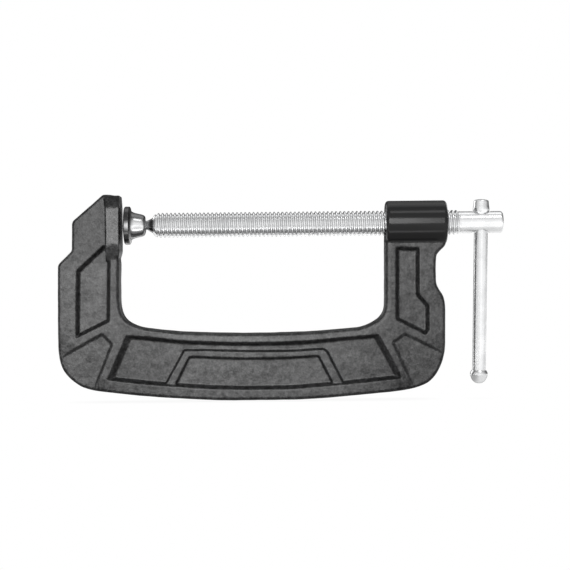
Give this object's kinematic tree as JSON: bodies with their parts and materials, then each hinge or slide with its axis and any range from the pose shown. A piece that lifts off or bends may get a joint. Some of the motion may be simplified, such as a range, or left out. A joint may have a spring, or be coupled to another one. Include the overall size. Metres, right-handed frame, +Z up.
{
  "type": "g-clamp",
  "caption": "G-clamp with a cast C-shaped frame, a long threaded screw with a swivel pad, and a sliding tommy bar.",
  "frame": {"origin": "centre of the fixed anvil face, on the screw's axis", "axes": "+X along the screw from the anvil to the handle, +Z up and away from the spine, Y across the casting's thickness"},
  "size_m": [0.2423, 0.0242, 0.1126],
  "materials": {
    "frame_paint": "semi-gloss black paint over a cast surface, with fine mottling",
    "plated_screw": "bright plated, rolled or cut thread, fine turning marks",
    "plated_pad": "bright plated, turned",
    "plated_bar": "bright plated, smooth drawn bar"
  },
  "bodies": {
    "frame": {"frame": "frame_paint"},
    "carriage": {"ball_tip": "plated_screw"},
    "screw": {"screw": "plated_screw"},
    "pad": {"swivel_pad": "plated_pad"},
    "handle": {"tommy_bar": "plated_bar", "bar_cap_upper": "plated_bar", "bar_cap_lower": "plated_bar"}
  },
  "joints": [
    {"name": "jaw_travel", "type": "slide", "parent": "frame", "child": "carriage", "axis": [1, 0, 0], "range_m": [0, 0.1295]},
    {"name": "screw_turn", "type": "hinge", "parent": "carriage", "child": "screw", "pos_m": [0.0177, 0, 0], "axis": [1, 0, 0], "range_deg": [0, 20719]},
    {"name": "pad_tilt", "type": "hinge", "parent": "carriage", "child": "pad", "pos_m": [0.0088, 0, 0], "axis": [0, 1, 0], "range_deg": [-10, 10]},
    {"name": "bar_slide", "type": "slide", "parent": "screw", "child": "handle", "axis": [0.0241, 0, 0.9997], "range_m": [0, 0.0757]}
  ],
  "couplings": [
    {"joint": "jaw_travel", "follows": "screw_turn", "m_per_rad": 0.0003581}
  ]
}
